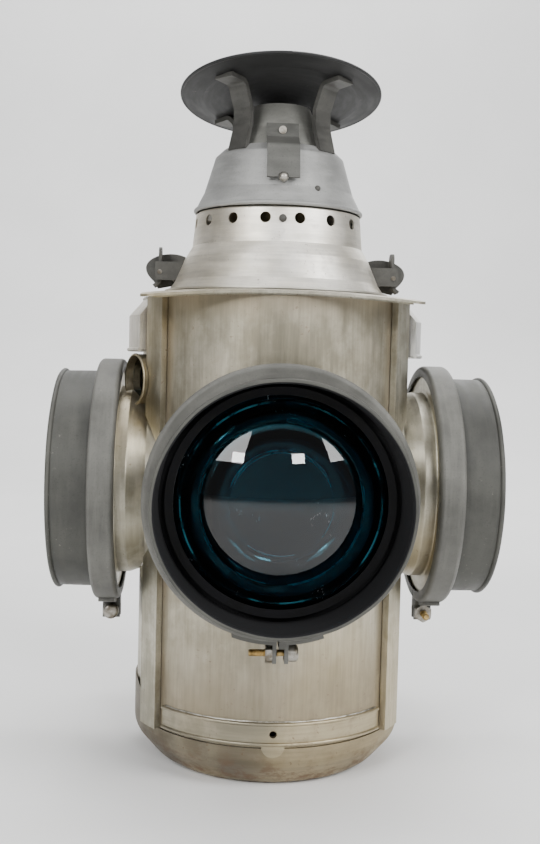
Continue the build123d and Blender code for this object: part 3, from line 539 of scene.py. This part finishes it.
# On the front panel the bands under the roof plate and beside the guides are painted shade; the third band
# only makes the panel darker towards the bottom.
tin_panel = bare_metal("tinned_panel", rust=0.12, tarnish=0.35, light=(0.56, 0.515, 0.41),
                       dark=(0.33, 0.30, 0.225), low_rust=0.030,
                       darkened_bands=[(2, PANEL_TOP - 20 * MM, PANEL_TOP, 0.6), (0, 66 * MM, 72 * MM, 0.75),
                              (2, 125 * MM, 50 * MM, 0.62)])
tin_guides = bare_metal("tinned_guides", rust=0.2, tarnish=0.6, light=(0.56, 0.53, 0.44),
                        dark=(0.30, 0.28, 0.215))
tin_vents = bare_metal("tinned_vents", rust=0.1, tarnish=0.1, light=(0.88, 0.87, 0.84),
                       dark=(0.68, 0.67, 0.64), shine=0.42)
tin_band = bare_metal("tinned_band", brushing="round", rust=0.3, tarnish=0.6, light=(0.44, 0.40, 0.31),
                      dark=(0.26, 0.235, 0.175))
tin_dome = bare_metal("tinned_dome", brushing="round", rust=0.12, tarnish=0.3, light=(0.93, 0.90, 0.84),
                      dark=(0.74, 0.71, 0.63), shine=0.40)
tin_roof = bare_metal("tinned_roof", rust=0.3, tarnish=0.6, light=(0.55, 0.52, 0.44))
tin_pan = bare_metal("tinned_pan", brushing="round", rust=0.4, tarnish=0.6, light=(0.27, 0.24, 0.18),
                     dark=(0.15, 0.13, 0.095), low_rust=0.034, shine=0.42)
paint_small = grey_paint("grey_small", chips=0.3, light=(0.085, 0.083, 0.075),
                         dark=(0.045, 0.044, 0.040), sheen=0.25)
tin_sooty = bare_metal("tinned_sooty", rust=0.3, tarnish=0.9, light=(0.10, 0.09, 0.075),
                       dark=(0.03, 0.028, 0.024))
tube_looks = {
    "Y": bare_metal("tinned_tube_y", "Y", LENS_Z, "round", 0.15, 0.4, soot=soot_in_tube("Y")),
    "X": bare_metal("tinned_tube_x", "X", LENS_Z, "round", 0.15, 0.4, soot=soot_in_tube("X"))}
hood_looks = {
    "Y": grey_paint("grey_hood_y", "Y", LENS_Z, black_inside=True, edges=0.4),
    "X": grey_paint("grey_hood_x", "X", LENS_Z, black_inside=True, edges=0.4)}
ring_looks = {
    "Y": grey_paint("grey_ring_y", "Y", LENS_Z, light=RING_PAINT, dark=RING_PAINT_DARK, chips=0.45),
    "X": grey_paint("grey_ring_x", "X", LENS_Z, light=RING_PAINT, dark=RING_PAINT_DARK, chips=0.45)}
paint_top = grey_paint("grey_top", chips=0.25, light=(0.31, 0.31, 0.30), dark=(0.22, 0.22, 0.212),
                       sheen=0.35)
paint_strap = grey_paint("grey_legs", chips=0.2, light=(0.115, 0.114, 0.105),
                         dark=(0.075, 0.075, 0.069), sheen=0.3)
paint_cone = grey_paint("grey_cone", chips=0.2, light=(0.205, 0.204, 0.185),
                        dark=(0.14, 0.139, 0.126), sheen=0.3)
paint_cap = grey_paint("grey_cap", chips=0.15, light=(0.020, 0.020, 0.020), dark=(0.011, 0.011, 0.011))
black = simple_metal("black_inside", (0.005, 0.005, 0.006), (0.003, 0.003, 0.003), 0.60, 0.80, 0.0, 0.15)
glass = lens_glass("lens_glass")
steel = simple_metal("plated_steel", (0.42, 0.40, 0.36), (0.14, 0.12, 0.09), 0.32, 0.5)
brass = simple_metal("aged_brass", (0.55, 0.40, 0.17), (0.22, 0.15, 0.06), 0.3, 0.5)
felt = woven("gasket_felt", (0.12, 0.11, 0.10), (0.05, 0.045, 0.04), 900)
cotton = woven("cotton_wick", (0.65, 0.58, 0.46), (0.35, 0.30, 0.22), 700)
solder = simple_metal("old_solder", (0.50, 0.48, 0.43), (0.20, 0.185, 0.15), 0.36, 0.55)
AXIS = {"front": "Y", "rear": "Y", "left": "X", "right": "X"}

NODE_LOOKS = [
    (tin_body, ["body_shell"]),
    (tin_panel, ["front_panel"]),
    (tin_band, ["panel_band"]),
    (tin_guides, ["guide_left", "guide_right", "sight_tube"]),
    (tin_roof, ["roof_plate", "body_top_flange"]),
    (tin_vents, ["vent_left", "vent_right"]),
    (tin_dome, ["dome"]),
    (paint_small, ["dome_rivets", "cap_legs", "catch_bracket_left", "catch_bracket_right",
                   "catch_lever_left", "catch_lever_right"]),
    (paint_top, ["skirt"]),
    (paint_cone, ["chimney_cone"]),
    (paint_strap, ["latch_strap"]),
    (steel, ["strap_rivet", "latch_stud", "catch_pins"]),
    (tin_sooty, ["flue", "draught_baffle", "fount_cradle", "fount"]),
    (black, ["lens_retainers"]),
    (felt, ["lens_gaskets"]),
    (brass, ["filler_cap", "burner_collar", "burner_gallery", "burner_cone", "wick_tube",
             "wick_spindle", "wick_knob"]),
    (cotton, ["wick"]),
    (tin_pan, ["base_pan"]),
    (paint_cap, ["cap_disc"]),
    (glass, ["sight_glass"])]

carried = {node: look for look, nodes in NODE_LOOKS for node in nodes}
for side, axis in AXIS.items():
    carried["lens_tube_" + side] = tube_looks[axis]
    carried["clamp_ring_" + side] = ring_looks[axis]
for node, look in carried.items():
    data = NODES[node].data
    data.materials.clear()
    data.materials.append(look)

# ---------------------------------------------------------------- hoods

def hood_section():
    """Flange, drum wall and rolled front edge, as one closed section."""
    wall = SHEET
    drum = HOOD_DRUM_R
    bead = HOOD_BEAD
    seat = HOOD_BACK + wall / 2
    centre = Vector((drum + wall / 2, HOOD_FRONT - bead))
    out = [Vector((HOOD_FLANGE_R, seat - wall / 2)), Vector((HOOD_FLANGE_R, seat + wall / 2))]
    corner = bent_path([(HOOD_FLANGE_R, seat + wall / 2), (drum + wall / 2, seat + wall / 2),
                        (drum + wall / 2, HOOD_FRONT - 10 * MM)], 1.2 * MM)
    out += corner[1:]
    start, end = math.radians(-90), math.radians(221.4)
    out += [centre + bead * Vector((math.cos(a), math.sin(a)))
            for a in (start + (end - start) * i / 18 for i in range(19))]
    inner = bent_path([(drum - wall / 2, HOOD_FRONT - 10 * MM), (drum - wall / 2, seat - wall / 2),
                       (HOOD_FLANGE_R, seat - wall / 2)], 1.8 * MM)
    return split_long(out + inner[:-1], 4 * MM)


def hood_seam(bm, place, worn):
    """The lapped seam low on the drum, with its flattened solder."""
    wall = HOOD_DRUM_R + SHEET / 2
    centres = []
    radii = []
    for i in range(30):
        along = HOOD_BACK + 14 * MM + (HOOD_FRONT - HOOD_BACK - 19 * MM) * i / 29
        angle = math.radians(3.4) + 0.004 * noise.noise(Vector((i * 0.4, 3, 1)))
        radius = wall + worn(angle, wall, along)[0]
        centres.append(place @ Vector((radius * math.sin(angle), -radius * math.cos(angle), along)))
        radii.append((0.55 + 0.12 * noise.noise(Vector((i * 0.6, 7, 2)))) * MM)
    tube_along(bm, centres, radii, closed=False)


for seed, (side, turn) in enumerate(SIDES.items()):
    bm = bmesh.new()
    squash = 0.013 if side == "front" else 0.004
    worn = worn_oval(11.0 * seed, 0.5 * MM, HOOD_BACK + 20 * MM, HOOD_FRONT, squash)
    lathe(bm, hood_section(), facing(turn), 224, worn)
    hood_seam(bm, facing(turn), worn)
    piece(bm, "hood_shell_" + side, "hood_assembly_" + side, hood_looks[AXIS[side]],
          ["hood_" + side])

# ---------------------------------------------------------------- lenses

def lens_section():
    """Bulged front, straight edge and stepped back."""
    cap_r = LENS_CAP_R
    front = LENS_BACK + LENS_EDGE
    rise = LENS_APEX - front
    big = (cap_r * cap_r + rise * rise) / (2 * rise)
    core, dome = 9.5 * MM, 0.9 * MM
    out = [Vector((0, LENS_BACK + core))]
    for i in range(1, 7):
        t = i / 6
        out.append(Vector((LENS_STEPS[0] * t, LENS_BACK + core + dome * t * t)))
    fall = 5.2 * MM
    tops = (8.4 * MM, 6.0 * MM)
    for inner, outer, top in zip(LENS_STEPS, LENS_STEPS[1:], tops):
        out.append(Vector((inner, LENS_BACK + top - fall)))
        for i in range(1, 7):
            t = i / 6
            out.append(Vector((inner + (outer - inner) * t, LENS_BACK + top - fall * (1 - t * t))))
    chamfer = 0.4 * MM
    out += [Vector((LENS_STEPS[2], LENS_BACK)), Vector((LENS_R - chamfer, LENS_BACK)),
            Vector((LENS_R, LENS_BACK + chamfer)), Vector((LENS_R, front - chamfer)),
            Vector((LENS_R - chamfer, front))]
    for i in range(33):
        angle = math.asin(cap_r / big) * (1 - i / 32)
        out.append(Vector((big * math.sin(angle), LENS_APEX - big + big * math.cos(angle))))
    return out


for side, turn in SIDES.items():
    bm = bmesh.new()
    lathe(bm, lens_section(), facing(turn), 192)
    piece(bm, "lens_blue_" + side, "lamp_body", glass, ["lens_" + side], 24)

# ---------------------------------------------------------------- clamp screws

SCREW_HEAD = 6.4 * MM
SCREW_HEAD_R = 5.4 * MM
SCREW_DOME = 2.4 * MM     # radius of the rounded edge of the head
SCREW_CORE = 2.0 * MM
SCREW_CREST = 2.4 * MM
SCREW_PITCH = 0.9 * MM
SCREW_POINT = 0.5 * MM
SCREW_PLAIN = 6 * MM      # the length under the head that has no thread
NUT_LONG = 4.2 * MM
NUT_FLATS = 5.7 * MM      # from the middle to a flat
NUT_BORE = 2.45 * MM


def screw_frame(side, turn):
    """Placing of a clamp screw, whose axis becomes local Z, and the heights of its two ends."""
    low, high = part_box("clamp_screw_" + side)
    place = facing(turn)
    inverse = place.inverted()
    a, b = inverse @ Vector(low), inverse @ Vector(high)
    y_mid, z_mid = (a.y + b.y) / 2, (a.z + b.z) / 2
    along = place @ Matrix.Translation((0, y_mid, z_mid)) @ Matrix.Rotation(math.radians(90), 4, "Y")
    return along, min(a.x, b.x), max(a.x, b.x)


def screw_thread(along, tip, head_start):
    """Core of the screw and one long winding on it that fades out at both ends."""
    bm = bmesh.new()
    buried = head_start + SCREW_POINT
    core = [Vector((0, tip)), Vector((SCREW_CORE - SCREW_POINT, tip)), Vector((SCREW_CORE, tip + SCREW_POINT)),
            Vector((SCREW_CORE, buried)), Vector((0, buried))]
    lathe(bm, core, along, 24)
    start = 0.6 * MM
    per_turn = 20
    foot, half = 0.15 * MM, 0.36 * MM
    steps = int((head_start - SCREW_PLAIN - tip - start) / SCREW_PITCH * per_turn)
    rows = []
    for i in range(steps + 1):
        angle = 2 * math.pi * i / per_turn
        h = tip + start + SCREW_PITCH * i / per_turn
        fade = min(1.0, i / 10, (steps - i) / 10)
        crest = SCREW_CORE + (SCREW_CREST - SCREW_CORE) * fade
        row = [(SCREW_CORE - foot, h - half), (crest, h), (SCREW_CORE - foot, h + half)]
        rows.append([bm.verts.new(along @ Vector((r * math.cos(angle), r * math.sin(angle), z)))
                     for r, z in row])
    for one, two in zip(rows, rows[1:]):
        for j in range(3):
            k = (j + 1) % 3
            bm.faces.new((one[j], one[k], two[k], two[j]))
    bm.faces.new(rows[0])
    bm.faces.new(rows[-1][::-1])
    return bm


def screw_head(along, start, top):
    """Cylindrical head with a rounded edge and a shallow dimple."""
    bm = bmesh.new()
    flat_r = SCREW_HEAD_R - SCREW_DOME
    edge = top - SCREW_DOME
    dimple, deep = 0.72 * MM, 0.02 * MM
    head = [Vector((0, start)), Vector((SCREW_HEAD_R, start)), Vector((SCREW_HEAD_R, edge))]
    for i in range(1, 7):
        a = math.radians(15 * i)
        head.append(Vector((flat_r + SCREW_DOME * math.cos(a), edge + SCREW_DOME * math.sin(a))))
    head += [Vector((dimple, top)), Vector((dimple, top - deep)), Vector((0, top - deep))]
    lathe(bm, head, along, 40)
    return bm


def nut_ring(bm, along, h, cut):
    """Six-sided outline at height h, with its corners cut back by cut millimetres."""
    ring = []
    for i in range(48):
        a = 2 * math.pi * i / 48
        sector = (a + math.pi / 6) % (math.pi / 3) - math.pi / 6
        r = min(NUT_FLATS / math.cos(sector), NUT_FLATS / math.cos(math.pi / 6) - cut * MM)
        ring.append(bm.verts.new(along @ Vector((r * math.cos(a), r * math.sin(a), h))))
    return ring


def join_rings(bm, one, two):
    """Closed strip of faces between two rings with the same number of points."""
    count = len(one)
    for i in range(count):
        k = (i + 1) % count
        bm.faces.new((one[i], one[k], two[k], two[i]))


def screw_nut(along):
    """Six-sided nut with eased corners and an open bore."""
    bm = bmesh.new()
    end = -(1.4 / 2 + 2.4) * MM
    start = end - NUT_LONG
    levels = ((start, 0.55), (start + 0.55 * MM, 0.0), (end - 0.2 * MM, 0.0), (end, 0.2))
    rings = [nut_ring(bm, along, h, cut) for h, cut in levels]
    for one, two in zip(rings, rings[1:]):
        join_rings(bm, one, two)
    holes = []
    turns = [2 * math.pi * i / 48 for i in range(48)]
    for ring, h in ((rings[0], start), (rings[-1], end)):
        hole = [bm.verts.new(along @ Vector((NUT_BORE * math.cos(a), NUT_BORE * math.sin(a), h)))
                for a in turns]
        join_rings(bm, ring, hole)
        holes.append(hole)
    join_rings(bm, holes[0], holes[1])
    return bm


for side, turn in SIDES.items():
    along, tip, top = screw_frame(side, turn)
    body = "hood_assembly_" + side
    head_start = top - SCREW_HEAD
    piece(screw_thread(along, tip, head_start), "screw_thread_" + side, body, brass,
          ["clamp_screw_" + side])
    piece(screw_head(along, head_start, top), "screw_head_" + side, body, steel)
    piece(screw_nut(along), "screw_nut_" + side, body, steel, sharp=25)

# ---------------------------------------------------------------- solder seams on the body

def seam_round_tube(side, turn):
    """Uneven solder where a lens tube meets the curved body."""
    bm = bmesh.new()
    skin = BODY_R + (1.4 * MM if side == "front" else 0)
    tube = 61.2 * MM
    centres, radii = [], []
    for i in range(220):
        a = 2 * math.pi * i / 220
        x, up = tube * math.sin(a), tube * math.cos(a)
        out = math.sqrt(skin * skin - x * x)
        centres.append(facing(turn) @ Vector((x, up, out + 0.2 * MM)))
        radii.append((1.25 + 0.55 * noise.noise(Vector((4 * math.sin(a), 4 * math.cos(a), turn + 0.5)))) * MM)
    tube_along(bm, centres, radii, closed=True)
    piece(bm, "solder_tube_" + side, "lamp_body", solder)


for side, turn in SIDES.items():
    seam_round_tube(side, turn)


def arc_seam(name, radius, height, start, end, size):
    """A solder line round the body, at one height, between two angles from the front."""
    bm = bmesh.new()
    steps = max(12, int(abs(end - start) * 1.2))
    centres, radii = [], []
    for i in range(steps + 1):
        a = math.radians(start + (end - start) * i / steps)
        wave = noise.noise(Vector((i * 0.23, height * 90, 5)))
        centres.append(Vector((radius * math.sin(a), -radius * math.cos(a), height + 0.35 * MM * wave)))
        radii.append(size * (0.8 + 0.35 * noise.noise(Vector((i * 0.4, height * 70, 9)))))
    tube_along(bm, centres, radii, closed=False)
    piece(bm, name, "lamp_body", solder)


BAND_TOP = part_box("panel_band")[1][2]
arc_seam("solder_band_top", BODY_R + 1.5 * MM, BAND_TOP + 0.1 * MM, -48, 48, 0.9 * MM)
arc_seam("solder_pan_rear", BODY_R + 0.2 * MM, PAN_TOP + 0.1 * MM, 92, 268, 0.9 * MM)
arc_seam("solder_roof", BODY_R + 0.2 * MM, PANEL_TOP - 0.4 * MM, 66, 294, 1.0 * MM)

# ---------------------------------------------------------------- floor, light, camera

def make_floor():
    """Pale sweep: flat under the lamp, curving up far behind it."""
    bm = bmesh.new()
    near, bend_start, bend, top = -4.0, 1.6, 1.2, 4.5
    profile = [(near, 0.0), (bend_start, 0.0)]
    for i in range(1, 13):
        a = math.radians(7.5 * i)
        profile.append((bend_start + bend * math.sin(a), bend - bend * math.cos(a)))
    profile.append((bend_start + bend, top))
    rows = [[bm.verts.new((x, y, FLOOR_Z + z)) for y, z in profile] for x in (-5.0, 5.0)]
    for j in range(len(profile) - 1):
        bm.faces.new((rows[0][j], rows[1][j], rows[1][j + 1], rows[0][j + 1]))
    floor = make_object("floor_sweep", bm, 80)
    floor.data.materials.append(floor_paper("floor_paper"))


make_floor()


def soft_light(name, at, aim, width, height, watts, tint=(1.0, 1.0, 1.0)):
    data = bpy.data.lights.new(name, "AREA")
    data.shape = "RECTANGLE"
    data.size = width
    data.size_y = height
    data.energy = watts
    data.color = tint
    lamp = bpy.data.objects.new(name, data)
    lamp.location = at
    lamp.rotation_euler = (Vector(aim) - Vector(at)).to_track_quat("-Z", "Y").to_euler()
    bpy.context.scene.collection.objects.link(lamp)


AIM = (0, 0, 0.22)
soft_light("key_left", (-1.15, -1.55, 1.35), AIM, 0.9, 0.9, 25)
soft_light("window_left", (-0.93, -1.72, 1.03), AIM, 0.30, 0.24, 9)
soft_light("window_right", (0.47, -1.89, 1.05), AIM, 0.30, 0.24, 9)
soft_light("fill_right", (1.30, -1.10, 1.30), AIM, 0.9, 0.9, 33)
soft_light("top", (0.0, -0.2, 2.2), AIM, 1.4, 1.4, 16)
soft_light("back", (0.9, 1.7, 1.5), AIM, 1.2, 1.0, 12)
soft_light("backdrop", (0.0, 1.0, 2.9), (0.0, 2.5, 0.7), 3.0, 0.8, 110)

world = bpy.data.worlds.new("studio")
bpy.context.scene.world = world
world.use_nodes = True
world.node_tree.nodes["Background"].inputs["Color"].default_value = (0.80, 0.82, 0.85, 1)
world.node_tree.nodes["Background"].inputs["Strength"].default_value = 0.22

camera_data = bpy.data.cameras.new("camera")
camera_data.sensor_fit = "VERTICAL"
camera_data.sensor_height = 24
camera_data.lens = 29.79
camera_data.clip_start = 0.05
camera = bpy.data.objects.new("camera", camera_data)
camera.location = (-0.0410, -0.7407, 0.2755)
# The camera looks a little past the lamp's axis, slightly down, and is held slightly tilted.
heading = math.atan2(-camera.location.y, -camera.location.x) + math.radians(0.15)
pitch = math.radians(-3.41)
roll = math.radians(1.45)
look_along = Vector((math.cos(heading) * math.cos(pitch), math.sin(heading) * math.cos(pitch),
                     math.sin(pitch)))
upright = look_along.to_track_quat("-Z", "Y").to_matrix().to_4x4()
camera.rotation_euler = (upright @ Matrix.Rotation(roll, 4, "Z")).to_euler()
bpy.context.scene.collection.objects.link(camera)
bpy.context.scene.camera = camera
bpy.context.scene.view_settings.view_transform = "AgX"
